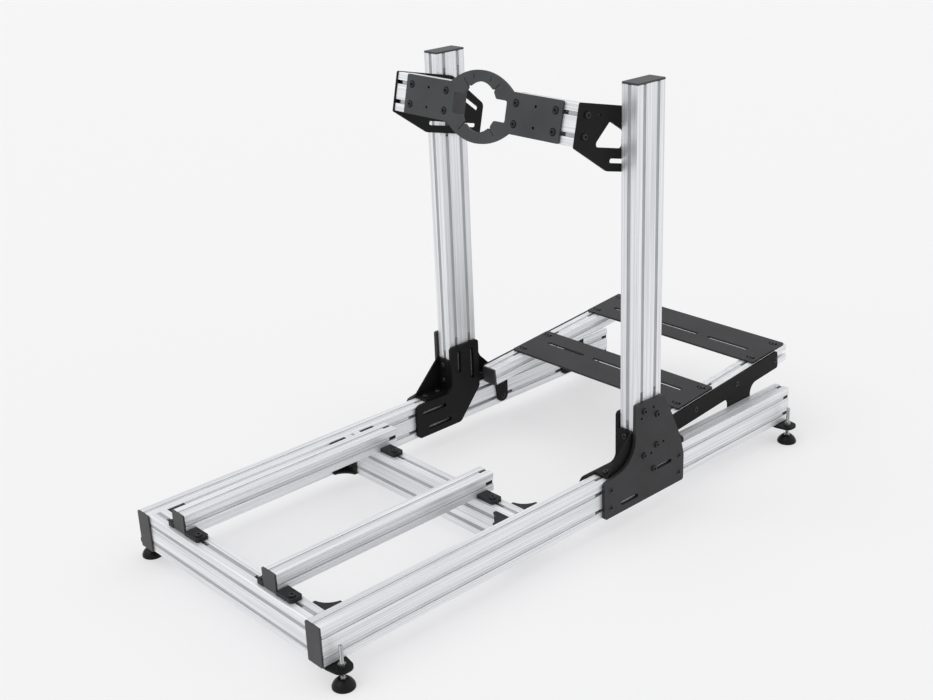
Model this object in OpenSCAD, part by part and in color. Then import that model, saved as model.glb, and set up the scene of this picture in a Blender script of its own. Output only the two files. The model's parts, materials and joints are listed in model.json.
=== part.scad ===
// Sim racing cockpit: an open frame of slotted aluminium profile on four levelling feet.
// It carries a pedal deck in front, a wheel deck on two uprights and a pair of seat rails behind.
// Millimetres. +Z is up, +Y runs from the pedals to the seat, X = 0 is the middle plane.
// The origin is on the floor, in the middle of the overall length and width.

/* [Main frame] */

// Outside width over the two side rails
rig_width = 600; // [560:10:700]
// Length of each side rail profile
rail_length = 1350; // [1320:10:1500]
// Height of the side rails' top faces above the floor
rail_top = 122.5; // [120:0.5:135]
// Distance from the rails' front ends to the middle of the middle cross bar
middle_bar_y = 507; // [400:5:560]
// Thickness of the black plastic end caps
cap_t = 4; // [3:0.5:6]

/* [Uprights] */

// Length of each upright profile
upright_length = 786; // [700:2:900]
// Distance from the rails' front ends to the uprights' front faces
upright_y = 808; // [760:2:850]
// Thickness of the two plates that join an upright to its side rail
upright_plate_t = 8; // [5:0.5:10]
// Thickness of the other laser-cut steel plates
plate_t = 5; // [4:0.5:6]
// Length of both legs of an upright's angle bracket
bracket_leg = 80; // [70:1:90]

/* [Pedal deck] */

// Length of each pedal rail profile
pedal_rail_length = 528; // [520:2:600]
// Distance from the rails' front ends to the pedal rail profiles
pedal_rail_y = 13; // [8:1:20]
// Position across the rig of the left pedal rail's middle
left_pedal_rail_x = 139; // [100:1:160]
// Position across the rig of the right pedal rail's middle
right_pedal_rail_x = -163; // [-180:1:-100]

/* [Wheel deck] */

// Height above the side rails of the wheel deck's lower front edge
deck_z = 689; // [600:1:690]
// Distance from the uprights' front faces forward to the wheel deck's front
deck_reach = 132; // [125:1:140]
// Backward lean of the wheel deck in degrees
deck_tilt = 12.6; // [8:0.2:16]
// Length of each short profile beside the wheel opening
stub_length = 166; // [158:1:176]
// Radius of the round opening in the ring plate
ring_hole_r = 49; // [44:0.5:52]
// Height of the ring plate from the bottom to the top of its ring
ring_height = 142; // [136:1:150]

/* [Seat rails] */

// Length of each seat rail profile
seat_rail_length = 490; // [460:5:520]
// Upward slope of the seat rails towards the back in degrees
seat_tilt = 5.3; // [4.4:0.1:6]
// Distance from the uprights' front faces to the seat rails' front ends
seat_y = 99; // [97:1:110]
// Height of the seat rails' front top edge above the side rails
seat_z = 38; // [36:1:44]
// Width along the seat rails of a seat cross plate
cross_plate_w = 120; // [100:2:130]

/* [Levelling feet] */

// Diameter of a foot pad
foot_d = 43; // [40:1:50]
// Diameter of a foot's threaded stud
stud_d = 8; // [6:1:9]
// Height of a stud's upper end above the side rail's underside
stud_above = 43; // [35:1:60]
// Distance from a side rail's end to the stud's axis
foot_inset = 25; // [24:1:32]

/* [Hidden] */

// Standard profile: 40 mm cells with 8 mm slots.
cell = 40;
half = cell / 2;
beam_h = 2 * cell;
slot_half = 4.1;
lip = 4.5;
chamber_half = 10;
chamber_side = 7;
chamber_deep = 12.25;
chamber_floor = 4.75;
core_d = 6.8;
corner_r = 1.5;
corner_void = 5.6;
corner_void_at = 15;
end_core_gap = 10.25;
mid_void_x = 17.5;
mid_void_y = 8;
mid_void_neck = 12.2;
mid_void_slope = 2;
past = 1;
round_past = 0.01;

clearance_d = 9;
small_hole_d = 6;
plate_corner_r = 4;

rail_x = rig_width / 2 - half;
inner_x = rig_width / 2 - cell;
outer_x = rig_width / 2;
seat_rail_x = inner_x - plate_t - half;
seat_back = seat_y + seat_rail_length * cos(seat_tilt) + cell * sin(seat_tilt);
overall_length = cap_t + max(rail_length, upright_y + seat_back);
front_y = cap_t - overall_length / 2;
up_y = front_y + upright_y;
upper_slot = rail_top - half;
lower_slot = rail_top - cell - half;
rail_bottom = rail_top - beam_h;

aluminium = [0.80, 0.81, 0.83];
black_steel = [0.16, 0.16, 0.17];
black_plastic = [0.22, 0.22, 0.23];
zinc = [0.72, 0.72, 0.70];
black_rubber = [0.09, 0.09, 0.09];

// Flat shapes with true arcs

function unit(v) = v / norm(v);
function turn(a, b, c) = (b[0] - a[0]) * (c[1] - b[1]) - (b[1] - a[1]) * (c[0] - b[0]);
function corner_angle(a, b, c) = acos(unit(a - b) * unit(c - b));
function tangent(a, b, c, r) = b + unit(a - b) * r / tan(corner_angle(a, b, c) / 2);
function arc_centre(a, b, c, r) =
    b + unit(unit(a - b) + unit(c - b)) * r / sin(corner_angle(a, b, c) / 2);

// A polygon, listed anticlockwise as [x, y, radius], whose corners are true arcs.
// Each arc's circle is larger by round_past, so it crosses the straight edges instead of touching them.
module rounded_polygon(corners) {
    count = len(corners);
    at = [for (c = corners) [c[0], c[1]]];
    before = [for (i = [0:count - 1]) at[(i + count - 1) % count]];
    after = [for (i = [0:count - 1]) at[(i + 1) % count]];
    outline = [for (i = [0:count - 1])
        for (p = [tangent(before[i], at[i], after[i], corners[i][2]),
                  tangent(after[i], at[i], before[i], corners[i][2])]) p];
    difference() {
        union() {
            polygon(outline);
            for (i = [0:count - 1])
                if (turn(before[i], at[i], after[i]) > 0)
                    translate(arc_centre(before[i], at[i], after[i], corners[i][2]))
                        circle(r = corners[i][2] + round_past, $fn = 48);
        }
        for (i = [0:count - 1])
            if (turn(before[i], at[i], after[i]) < 0)
                translate(arc_centre(before[i], at[i], after[i], corners[i][2]))
                    circle(r = corners[i][2] + round_past, $fn = 96);
    }
}

// A rectangle about the origin with arcs of radius r at its corners.
module rounded_rectangle(w, h, r) {
    square([w - 2 * r, h], center = true);
    square([w, h - 2 * r], center = true);
    for (sx = [-1, 1])
        for (sy = [-1, 1])
            translate([sx * (w / 2 - r), sy * (h / 2 - r)]) circle(r = r, $fn = 32);
}

// A slot with round ends about the origin, its length along x.
module slot_shape(length, width) {
    square([length - width, width], center = true);
    for (s = [-1, 1])
        translate([s * (length - width) / 2, 0]) circle(d = width, $fn = 32);
}

// Profile

// One T-slot, cut down from a face that lies on y = 0.
module t_slot() {
    polygon([
        [-slot_half, past], [-slot_half, -lip], [-chamber_half, -lip],
        [-chamber_half, -chamber_side], [-chamber_floor, -chamber_deep],
        [chamber_floor, -chamber_deep], [chamber_half, -chamber_side],
        [chamber_half, -lip], [slot_half, -lip], [slot_half, past]
    ]);
}

// The hollow between two cells of a double profile.
module middle_void() {
    polygon([
        [mid_void_x, -mid_void_y], [mid_void_x, mid_void_y], [mid_void_neck, mid_void_y],
        [mid_void_neck - mid_void_slope, end_core_gap],
        [mid_void_slope - mid_void_neck, end_core_gap],
        [-mid_void_neck, mid_void_y], [-mid_void_x, mid_void_y], [-mid_void_x, -mid_void_y],
        [-mid_void_neck, -mid_void_y],
        [mid_void_slope - mid_void_neck, -end_core_gap],
        [mid_void_neck - mid_void_slope, -end_core_gap], [mid_void_neck, -mid_void_y]
    ]);
}

// The section of a profile of one or two cells, the cells stacked along y.
module profile_section(cells) {
    tall = cells * cell;
    difference() {
        rounded_rectangle(cell, tall, corner_r);
        for (s = [-1, 1]) {
            rotate(90 - s * 90) translate([0, tall / 2]) t_slot();
            for (sx = [-1, 1])
                translate([sx * corner_void_at, s * (tall / 2 - half + corner_void_at)])
                    square(corner_void, center = true);
        }
        for (i = [0:cells - 1])
            translate([0, (i + 0.5) * cell - tall / 2]) {
                circle(d = core_d, $fn = 32);
                for (s = [-1, 1]) rotate(s * 90) translate([0, half]) t_slot();
            }
        if (cells == 2) middle_void();
    }
}

// A profile along +Y from the origin, centred on x = 0 and z = 0.
module beam_y(cells, length)
    translate([0, length, 0]) rotate([90, 0, 0]) linear_extrude(length) profile_section(cells);

// A profile along +X from the origin, centred on y = 0 and z = 0.
module beam_x(cells, length)
    rotate([90, 0, 90]) linear_extrude(length) profile_section(cells);

// A flat plate drawn in (y, z) and standing across X, from x to x + thickness.
module plate_yz(x, thickness)
    translate([x, 0, 0]) rotate([90, 0, 90]) linear_extrude(thickness) children();

// The same plate on the right side of the rig.
module mirrored(right)
    mirror([right ? 1 : 0, 0, 0]) children();

// Base frame

module side_rail(right)
    color(aluminium) mirrored(right)
        translate([rail_x, front_y, rail_top - cell]) beam_y(2, rail_length);

module left_side_rail() side_rail(false);
module right_side_rail() side_rail(true);

module side_rail_end_caps()
    color(black_plastic)
        for (s = [-1, 1])
            translate([s * rail_x, front_y, rail_top - cell])
                rotate([90, 0, 0]) linear_extrude(cap_t) rounded_rectangle(cell, beam_h, corner_r);

module cross_bar(y)
    color(aluminium)
        translate([-inner_x, front_y + y, rail_top - cell]) beam_x(2, 2 * inner_x);

module front_cross_bar() cross_bar(half);
module middle_cross_bar() cross_bar(middle_bar_y);

// An inside corner bracket: two flanges, and cheeks with a hollow-curved long edge.
inside_leg = 39;
inside_flange_t = 5;
cheek_t = 4;
cheek_nose = 7;
inside_height = 76;
inside_drop = 2;
inside_bolt_at = 22;
inside_bolt_z = 18;
// Each as [distance from the rails' front ends, 1 where the bracket stands in front of its bar].
inside_places = [[cell, 0], [middle_bar_y - half, 1], [middle_bar_y + half, 0]];

module cheek_shape(leg, nose)
    difference() {
        square(leg);
        translate([leg + nose, leg + nose]) circle(r = leg, $fn = 96);
        polygon([
            [leg, nose], [leg + past, nose], [leg + past, leg + past], [nose, leg + past], [nose, leg]
        ]);
    }

module inside_bracket() {
    difference() {
        union() {
            cube([inside_leg, inside_flange_t, inside_height]);
            cube([inside_flange_t, inside_leg, inside_height]);
        }
        for (z = [inside_bolt_z, inside_height - inside_bolt_z]) {
            translate([inside_bolt_at, -past, z]) rotate([-90, 0, 0])
                cylinder(d = clearance_d, h = inside_flange_t + 2 * past, $fn = 32);
            translate([-past, inside_bolt_at, z]) rotate([0, 90, 0])
                cylinder(d = clearance_d, h = inside_flange_t + 2 * past, $fn = 32);
        }
    }
    for (z = [0, (inside_height - cheek_t) / 2, inside_height - cheek_t])
        translate([0, 0, z]) linear_extrude(cheek_t) cheek_shape(inside_leg, cheek_nose);
}

module corner_brackets()
    color(black_plastic)
        for (right = [false, true]) mirrored(right)
            for (place = inside_places)
                translate([inner_x, front_y + place[0], rail_top - inside_drop - inside_height])
                    mirror([1, 0, 0]) mirror([0, place[1], 0]) inside_bracket();

// Pedal deck

// A rail's clamps are unlike: the first is on its +X side, the second on its -X side.
clamp_reach = [45, 21];
clamp_bolt = [33, 11];
clamp_front = 8;
clamp_l = 27.5;
clamp_t = 8;
clamp_chamfer = 4;

module pedal_rail(x)
    color(aluminium)
        translate([x, front_y + pedal_rail_y, rail_top + half]) beam_y(1, pedal_rail_length);

module left_pedal_rail() pedal_rail(left_pedal_rail_x);
module right_pedal_rail() pedal_rail(right_pedal_rail_x);

module pedal_rail_end_caps()
    color(black_plastic)
        for (x = [left_pedal_rail_x, right_pedal_rail_x])
            translate([x, front_y + pedal_rail_y, rail_top + half])
                rotate([90, 0, 0]) linear_extrude(cap_t) rounded_rectangle(cell, cell, corner_r);

// A clamp beside a pedal rail, drawn from the middle of the bar it is bolted to.
module rail_clamp(reach, bolt)
    translate([half, clamp_front - half, 0]) linear_extrude(clamp_t) difference() {
        polygon([
            [0, 0], [reach - clamp_chamfer, 0], [reach, clamp_chamfer],
            [reach, clamp_l - clamp_chamfer], [reach - clamp_chamfer, clamp_l], [0, clamp_l]
        ]);
        translate([bolt, half - clamp_front]) circle(d = clearance_d, $fn = 32);
    }

module pedal_rail_clamps()
    color(black_plastic)
        for (x = [left_pedal_rail_x, right_pedal_rail_x])
            for (y = [half, middle_bar_y])
                for (i = [0, 1])
                    translate([x, front_y + y, rail_top]) mirror([i, 0, 0])
                        rail_clamp(clamp_reach[i], clamp_bolt[i]);

// Uprights

module upright(right)
    color(aluminium) mirrored(right)
        translate([rail_x, up_y + cell, rail_top]) linear_extrude(upright_length) profile_section(2);

module left_upright() upright(false);
module right_upright() upright(true);

module upright_end_caps()
    color(black_plastic)
        for (s = [-1, 1])
            translate([s * rail_x, up_y + cell, rail_top + upright_length])
                linear_extrude(cap_t) rounded_rectangle(cell, beam_h, corner_r);

// Plate outlines are [y from the upright's front face, z from the side rail's top, radius].
outer_plate_corners = [
    [-100, -82, 7], [150, -82, 5], [150, -20, 30], [138, 24, 40], [107, 90, 60],
    [80, 140, 4], [-6, 142, 4], [-7, 18, 58], [-100, 1, 9]
];
outer_corner_bolts = [[-80, -half], [-80, -cell - half], [135.5, -half], [135.5, -cell - half]];
outer_upright_bolts = [[half, 122], [cell + half, 103], [cell + half, 33], [half, 22]];
outer_small_holes = [[49, 122.5], [11.5, 108.5], [81.5, 33], [43, 19.5]];
outer_big_hole = [51.5, -19.5];
outer_big_hole_d = 12;
// Slots are [y, z, length, angle].
outer_slots = [[85, -21.5, 50, 0], [-24, -62.5, 54, 0]];

module bolt_holes(places, d = clearance_d)
    for (p = places) translate(p) circle(d = d, $fn = 32);

module bolt_slots(slots)
    for (s = slots) translate([s[0], s[1]]) rotate(s[3]) slot_shape(s[2], clearance_d);

module outer_plate_shape()
    difference() {
        rounded_polygon(outer_plate_corners);
        bolt_holes(concat(outer_corner_bolts, outer_upright_bolts));
        bolt_holes(outer_small_holes, small_hole_d);
        bolt_holes([outer_big_hole], outer_big_hole_d);
        bolt_slots(outer_slots);
    }

module upright_outer_plate(right)
    color(black_steel) mirrored(right)
        translate([0, up_y, rail_top]) plate_yz(outer_x, upright_plate_t) outer_plate_shape();

module left_upright_outer_plate() upright_outer_plate(false);
module right_upright_outer_plate() upright_outer_plate(true);

inner_plate_corners = [
    [-116, -79, 12], [18, -79, 14], [81, -6, 12], [81, 113, 8],
    [-5, 113, 8], [-5, 3, 18], [-116, 3, 14]
];
inner_slots = [
    [-63, -half, 72, 0], [-48, -cell - half, 72, 0],
    [half, 73, 54, 90], [cell + half, 58, 76, 90]
];

module inner_plate_shape()
    difference() {
        rounded_polygon(inner_plate_corners);
        bolt_slots(inner_slots);
    }

module upright_inner_plate(right)
    color(black_steel) mirrored(right)
        translate([0, up_y, rail_top])
            plate_yz(inner_x - upright_plate_t, upright_plate_t) inner_plate_shape();

module left_upright_inner_plate() upright_inner_plate(false);
module right_upright_inner_plate() upright_inner_plate(true);

// A bracket in the corner between a side rail's top and an upright, its legs along +Y and +Z.
// It has one straight-edged cheek, on the rig's outer side.
bracket_w = 38;
bracket_leg_t = 6;
bracket_cheek_t = 4;
bracket_nose = 10;
bracket_bolts = [28, 66];

module angle_bracket() {
    difference() {
        translate([-bracket_w / 2, 0, 0]) {
            cube([bracket_w, bracket_leg, bracket_leg_t]);
            cube([bracket_w, bracket_leg_t, bracket_leg]);
        }
        for (at = bracket_bolts) {
            translate([0, at, -past]) cylinder(d = clearance_d, h = bracket_leg_t + 2 * past, $fn = 32);
            translate([0, -past, at]) rotate([-90, 0, 0])
                cylinder(d = clearance_d, h = bracket_leg_t + 2 * past, $fn = 32);
        }
    }
    plate_yz(bracket_w / 2 - bracket_cheek_t, bracket_cheek_t)
        polygon([
            [0, 0], [bracket_leg, 0], [bracket_leg, bracket_nose],
            [bracket_nose, bracket_leg], [0, bracket_leg]
        ]);
}

module upright_front_brackets()
    color(black_steel)
        for (right = [false, true]) mirrored(right)
            translate([rail_x, up_y, rail_top]) mirror([0, 1, 0]) angle_bracket();

module upright_rear_brackets()
    color(black_steel)
        for (right = [false, true]) mirrored(right)
            translate([rail_x, up_y + beam_h, rail_top]) angle_bracket();

// Wheel deck

// Plate outline as [distance back from the deck's front, height, radius] in the leaning frame.
deck_plate_corners = [
    [3.5, -1, 4], [103, -41, 14], [260, -41, 6], [260, 28, 14], [158, 83, 20], [3.5, 83, 4]
];
deck_window_corners = [[54, 3, 7], [140, 3, 7], [134, 37, 7], [91, 53, 7]];
deck_small_hole = [62, 63];
deck_slots = [[137, -21, 62, 0], [220, -21, 50, 0], [222, 26, 52, -26]];
stub_lift = 1.5;
stub_y = plate_t + half;
stub_z = stub_lift + cell;
stub_bolts = [stub_z - half, stub_z + half];

// Moves its children into the deck's leaning frame: y runs back, z up, from the lower front edge.
module in_deck()
    translate([0, up_y - deck_reach, rail_top + deck_z]) rotate([-deck_tilt, 0, 0]) children();

module deck_plate_shape()
    difference() {
        rounded_polygon(deck_plate_corners);
        rounded_polygon(deck_window_corners);
        bolt_holes([for (z = stub_bolts) [stub_y, z]]);
        bolt_holes([deck_small_hole], small_hole_d);
        bolt_slots(deck_slots);
    }

module wheel_deck_plate(right)
    color(black_steel) mirrored(right) in_deck()
        plate_yz(inner_x - plate_t, plate_t) deck_plate_shape();

module left_wheel_deck_plate() wheel_deck_plate(false);
module right_wheel_deck_plate() wheel_deck_plate(true);

module wheel_deck_profile(right)
    color(aluminium) mirrored(right) in_deck()
        translate([inner_x - plate_t - stub_length, stub_y, stub_z]) beam_x(2, stub_length);

module left_wheel_deck_profile() wheel_deck_profile(false);
module right_wheel_deck_profile() wheel_deck_profile(true);

module wheel_deck_end_caps()
    color(black_plastic)
        for (right = [false, true]) mirrored(right) in_deck()
            translate([inner_x - plate_t - stub_length - cap_t, stub_y, stub_z])
                rotate([90, 0, 90]) linear_extrude(cap_t) rounded_rectangle(cell, beam_h, corner_r);

// The ring plate, drawn about the middle of its opening.
ring_arc_r = 139;
ring_wing = 220;
ring_notch_x = 75;
ring_notch_h = 42;
ring_slit_end = 71;
ring_slit_w = 2.5;
ring_notch_mouth_r = 6;
ring_slit_mouth_r = 5;
ring_tick = [2, 10];
ring_tick_at = [24, 57];
ring_columns = [99.5, 203.5];
ring_small_x = 152;
recess_d = 16;
recess_deep = 2;

module ring_outline() {
    rounded_rectangle(2 * ring_wing, beam_h, plate_corner_r);
    intersection_for (s = [-1, 1])
        translate([0, s * (ring_arc_r - ring_height / 2)]) circle(r = ring_arc_r, $fn = 128);
}

// The part of the opening that rounds off the corner, with radius r, between the round hole
// and a straight edge that runs out of it at y = edge.
module mouth_rounding(edge, r) {
    at = [sqrt(pow(ring_hole_r + r, 2) - pow(edge + r, 2)), edge + r];
    difference() {
        polygon([[0, 0], [at[0], 0], at]);
        translate(at) circle(r = r + round_past, $fn = 48);
    }
}

module ring_opening() {
    circle(r = ring_hole_r, $fn = 96);
    rounded_rectangle(2 * ring_notch_x, ring_notch_h, plate_corner_r);
    for (flip = [0, 1]) mirror([0, flip]) {
        for (side = [0, 1]) mirror([side, 0]) mouth_rounding(ring_notch_h / 2, ring_notch_mouth_r);
        for (a = [45:90:315]) rotate(a) {
            translate([0, -past / 2]) square([ring_slit_end, ring_slit_w / 2 + past / 2]);
            mouth_rounding(ring_slit_w / 2, ring_slit_mouth_r);
        }
    }
}

module wheel_ring_plate()
    color(black_steel) in_deck()
        translate([0, plate_t, stub_z]) rotate([90, 0, 0]) difference() {
            linear_extrude(plate_t) difference() {
                ring_outline();
                ring_opening();
                for (sx = [-1, 1])
                    translate([sx * ring_tick_at[0], ring_tick_at[1]]) square(ring_tick, center = true);
                for (sx = [-1, 1])
                    for (sz = [-1, 1]) {
                        translate([sx * ring_small_x, sz * half]) circle(d = small_hole_d, $fn = 32);
                        for (x = ring_columns)
                            translate([sx * x, sz * half]) circle(d = clearance_d, $fn = 32);
                    }
            }
            for (sx = [-1, 1])
                for (sz = [-1, 1])
                    for (x = ring_columns)
                        translate([sx * x, sz * half, plate_t - recess_deep])
                            cylinder(d = recess_d, h = recess_deep + past, $fn = 48);
        }

// Seat rails

leg_bottom = -74;
leg_r = 14;
bar_drop = 42;
bar_end = 450;
rear_leg = [368, 447];
front_leg = [145, 175.5];
front_leg_root = [138, -25];
side_plate_bolts = [40, 150, 297, 441];
leg_bolts = [[160, -half], [160, -cell - half], [408, -half], [408, -cell - half]];

// A point s along the seat rail and t above its top, as [y from the upright, z from the rail top].
function on_seat(s, t) = [
    seat_y + s * cos(seat_tilt) - t * sin(seat_tilt),
    seat_z + s * sin(seat_tilt) + t * cos(seat_tilt)
];
// The height of the side plate's lower edge at a distance y behind the upright's front face.
function bar_under(y) =
    on_seat(0, -bar_drop)[1] + (y - on_seat(0, -bar_drop)[0]) * tan(seat_tilt);
function corner(p, r) = [p[0], p[1], r];

module in_seat()
    translate([0, up_y + seat_y, rail_top + seat_z]) rotate([seat_tilt, 0, 0]) children();

module seat_rail(right)
    color(aluminium) mirrored(right) in_seat()
        translate([seat_rail_x, 0, -half]) beam_y(1, seat_rail_length);

module left_seat_rail() seat_rail(false);
module right_seat_rail() seat_rail(true);

module seat_rail_end_caps()
    color(black_plastic)
        for (s = [-1, 1])
            in_seat() translate([s * seat_rail_x, 0, -half])
                rotate([90, 0, 0]) linear_extrude(cap_t) rounded_rectangle(cell, cell, corner_r);

module seat_side_plate_shape()
    difference() {
        rounded_polygon([
            corner(on_seat(0, 0), 5), corner(on_seat(0, -bar_drop), 6), corner(front_leg_root, 20),
            [front_leg[0], leg_bottom, leg_r], [front_leg[1], leg_bottom, leg_r],
            [front_leg[1], bar_under(front_leg[1]), 16],
            [rear_leg[0], bar_under(rear_leg[0]), 16],
            [rear_leg[0], leg_bottom, leg_r], [rear_leg[1], leg_bottom, leg_r],
            [rear_leg[1], bar_under(rear_leg[1]), 24],
            corner(on_seat(bar_end, -bar_drop), 6), corner(on_seat(bar_end, 0), 6)
        ]);
        bolt_holes([for (s = side_plate_bolts) on_seat(s, -half)]);
        bolt_holes(leg_bolts);
    }

module seat_side_plate(right)
    color(black_steel) mirrored(right)
        translate([0, up_y, rail_top]) plate_yz(inner_x - plate_t, plate_t) seat_side_plate_shape();

module left_seat_side_plate() seat_side_plate(false);
module right_seat_side_plate() seat_side_plate(true);

// A cross plate from s, with three slots in a line at slot_s and a short slot near each corner.
seat_slot_pitch = 147;
seat_slot_l = 118;
corner_slot_l = 22;
corner_slot_in = 17;
cross_gap = 1;
cross_half = inner_x - plate_t - cross_gap;

module seat_cross_plate(s, slot_s)
    color(black_steel) in_seat() linear_extrude(plate_t) difference() {
        translate([0, s + cross_plate_w / 2])
            rounded_rectangle(2 * cross_half, cross_plate_w, plate_corner_r);
        for (i = [-1:1]) translate([i * seat_slot_pitch, slot_s]) slot_shape(seat_slot_l, clearance_d);
        for (sx = [-1, 1])
            for (y = [s + corner_slot_in, s + cross_plate_w - corner_slot_in])
                translate([sx * seat_rail_x, y]) slot_shape(corner_slot_l, clearance_d);
    }

front_plate_s = 98;
rear_plate_s = 364;
slot_offset = 48;

module front_seat_cross_plate()
    seat_cross_plate(front_plate_s, front_plate_s + cross_plate_w - slot_offset);
module rear_seat_cross_plate()
    seat_cross_plate(rear_plate_s, rear_plate_s + slot_offset);

// Levelling feet

stud_out = 18;
foot_x = outer_x + stud_out;
foot_nose_r = 17;
foot_plate_w = 46;
foot_plate_t = 5;
foot_plate_in = 36;
foot_nose_at = 1;
// The pad's dome as [radius less than the rim's, height], from its rim up into its recess.
pad_floor = 15;
pad_dome = [
    [1, 0], [0, 1], [0, 4], [1.5, 8], [4.5, 12.5], [8, 16], [11, 18.3], [12, 19], [13.3, 19],
    [13.3, pad_floor]
];
collar_af = 13;
collar_h = 4.5;
nut_af = 13;
nut_h = 6.5;
// The bracket's hole for the stud is a slot that runs from the stud towards the rail and the back.
stud_slot = [21.5, 9.5];
stud_slot_turn = 132;
stud_slot_in = 6;

// Repeats its children at the four feet, with z = 0 on the floor and +X pointing outwards.
module each_foot()
    for (right = [false, true]) mirrored(right)
        for (y = [foot_inset, rail_length - foot_inset])
            translate([foot_x, front_y + y, 0]) children();

module foot_plate_shape()
    difference() {
        rounded_polygon([
            [-stud_out - foot_plate_in, -foot_plate_w / 2, 3],
            [foot_nose_at - stud_out, -foot_plate_w / 2, 6],
            [foot_nose_r, -foot_nose_r, foot_nose_r - 1],
            [foot_nose_r, foot_nose_r, foot_nose_r - 1],
            [foot_nose_at - stud_out, foot_plate_w / 2, 6],
            [-stud_out - foot_plate_in, foot_plate_w / 2, 3]
        ]);
        rotate(stud_slot_turn) translate([stud_slot_in, 0]) slot_shape(stud_slot[0], stud_slot[1]);
        translate([rail_x - foot_x, 0]) circle(d = clearance_d, $fn = 32);
    }

module foot_brackets()
    color(black_steel) each_foot()
        translate([0, 0, rail_bottom - foot_plate_t]) linear_extrude(foot_plate_t) foot_plate_shape();

module foot_studs()
    color(zinc) each_foot()
        translate([0, 0, pad_floor])
            cylinder(d = stud_d, h = rail_bottom + stud_above - pad_floor, $fn = 48);

// A hexagon nut on a stud's axis, its lower face at z.
module stud_nut(z, across_flats, height)
    translate([0, 0, z]) difference() {
        cylinder(d = across_flats / cos(30), h = height, $fn = 6);
        translate([0, 0, -past]) cylinder(d = stud_d, h = height + 2 * past, $fn = 48);
    }

// Two nuts clamp the bracket, and a thin one locks the stud in the pad's recess.
module foot_nuts()
    color(zinc) each_foot() {
        stud_nut(pad_floor, collar_af, collar_h);
        stud_nut(rail_bottom - foot_plate_t - nut_h, nut_af, nut_h);
        stud_nut(rail_bottom, nut_af, nut_h);
    }

module foot_pads()
    color(black_rubber) each_foot() rotate_extrude($fn = 64)
        polygon(concat([[0, 0]], [for (p = pad_dome) [foot_d / 2 - p[0], p[1]]], [[0, pad_floor]]));

left_side_rail();
right_side_rail();
side_rail_end_caps();
front_cross_bar();
middle_cross_bar();
corner_brackets();
left_pedal_rail();
right_pedal_rail();
pedal_rail_end_caps();
pedal_rail_clamps();
left_upright();
right_upright();
upright_end_caps();
left_upright_outer_plate();
right_upright_outer_plate();
left_upright_inner_plate();
right_upright_inner_plate();
upright_front_brackets();
upright_rear_brackets();
left_wheel_deck_plate();
right_wheel_deck_plate();
left_wheel_deck_profile();
right_wheel_deck_profile();
wheel_deck_end_caps();
wheel_ring_plate();
left_seat_rail();
right_seat_rail();
seat_rail_end_caps();
left_seat_side_plate();
right_seat_side_plate();
front_seat_cross_plate();
rear_seat_cross_plate();
foot_brackets();
foot_studs();
foot_nuts();
foot_pads();
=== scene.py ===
"""Looks of a sim racing cockpit: finishes, slot covers, bolts, levelling feet and a studio stage.

The frame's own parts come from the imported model. Everything here is in metres, +Z up,
+Y from the pedals to the seat, and X = 0 is the middle plane.
"""
import json
import math

import bpy
import numpy as np
from bpy.props import FloatProperty, FloatVectorProperty, PointerProperty
from mathutils import Matrix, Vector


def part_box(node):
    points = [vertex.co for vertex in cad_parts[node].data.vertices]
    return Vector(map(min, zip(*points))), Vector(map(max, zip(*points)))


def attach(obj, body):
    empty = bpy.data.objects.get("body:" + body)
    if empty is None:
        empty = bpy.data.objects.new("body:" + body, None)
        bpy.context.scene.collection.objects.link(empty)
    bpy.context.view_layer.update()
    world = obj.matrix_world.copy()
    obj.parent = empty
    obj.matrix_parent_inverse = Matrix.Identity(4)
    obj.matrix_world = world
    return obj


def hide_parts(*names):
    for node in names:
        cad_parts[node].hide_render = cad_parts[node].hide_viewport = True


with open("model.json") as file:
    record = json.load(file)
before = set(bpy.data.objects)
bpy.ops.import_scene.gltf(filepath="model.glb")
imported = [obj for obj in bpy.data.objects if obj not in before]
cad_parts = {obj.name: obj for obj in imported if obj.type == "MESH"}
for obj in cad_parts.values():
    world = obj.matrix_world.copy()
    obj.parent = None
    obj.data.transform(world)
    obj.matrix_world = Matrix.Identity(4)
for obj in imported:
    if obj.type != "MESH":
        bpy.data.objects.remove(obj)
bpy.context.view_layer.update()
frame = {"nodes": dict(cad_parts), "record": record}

bl_info = {
    "name": "Sim racing cockpit looks",
    "version": (1, 0, 0),
    "blender": (4, 5, 0),
    "location": "3D View > Sidebar > Cockpit",
    "description": "Dresses a packed cockpit frame: finishes, slot covers, bolts, feet and stage",
    "category": "Object",
}

# Places on the frame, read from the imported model


def low(node):
    """Lowest corner of a CAD node."""
    return np.array(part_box(node)[0])


def high(node):
    """Highest corner of a CAD node."""
    return np.array(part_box(node)[1])


CELL = 0.040
HALF = CELL / 2
PLATE = 0.005
OUTER_X = high("left_side_rail")[0]
INNER_X = OUTER_X - CELL
RAIL_X = OUTER_X - HALF
FRONT_Y = low("left_side_rail")[1]
BACK_Y = high("left_side_rail")[1]
RAIL_TOP = high("left_side_rail")[2]
UP_Y = low("left_upright")[1]
UP_TOP = high("left_upright")[2]
MIDDLE_BAR_Y = (low("middle_cross_bar")[1] + high("middle_cross_bar")[1]) / 2
PEDAL_FRONT = low("left_pedal_rail")[1]
PEDAL_BACK = high("left_pedal_rail")[1]
LEFT_PEDAL_X = (low("left_pedal_rail")[0] + high("left_pedal_rail")[0]) / 2
RIGHT_PEDAL_X = (low("right_pedal_rail")[0] + high("right_pedal_rail")[0]) / 2
SEAT_RAIL_X = (low("left_seat_rail")[0] + high("left_seat_rail")[0]) / 2
OUTER_FACE = high("left_upright_outer_plate")[0]
STUB_IN = low("left_wheel_deck_profile")[0]
STUD_R = 0.004
FOOT_X = high("foot_studs")[0] - STUD_R
FOOT_IN = low("foot_studs")[1] + STUD_R - FRONT_Y

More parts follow.
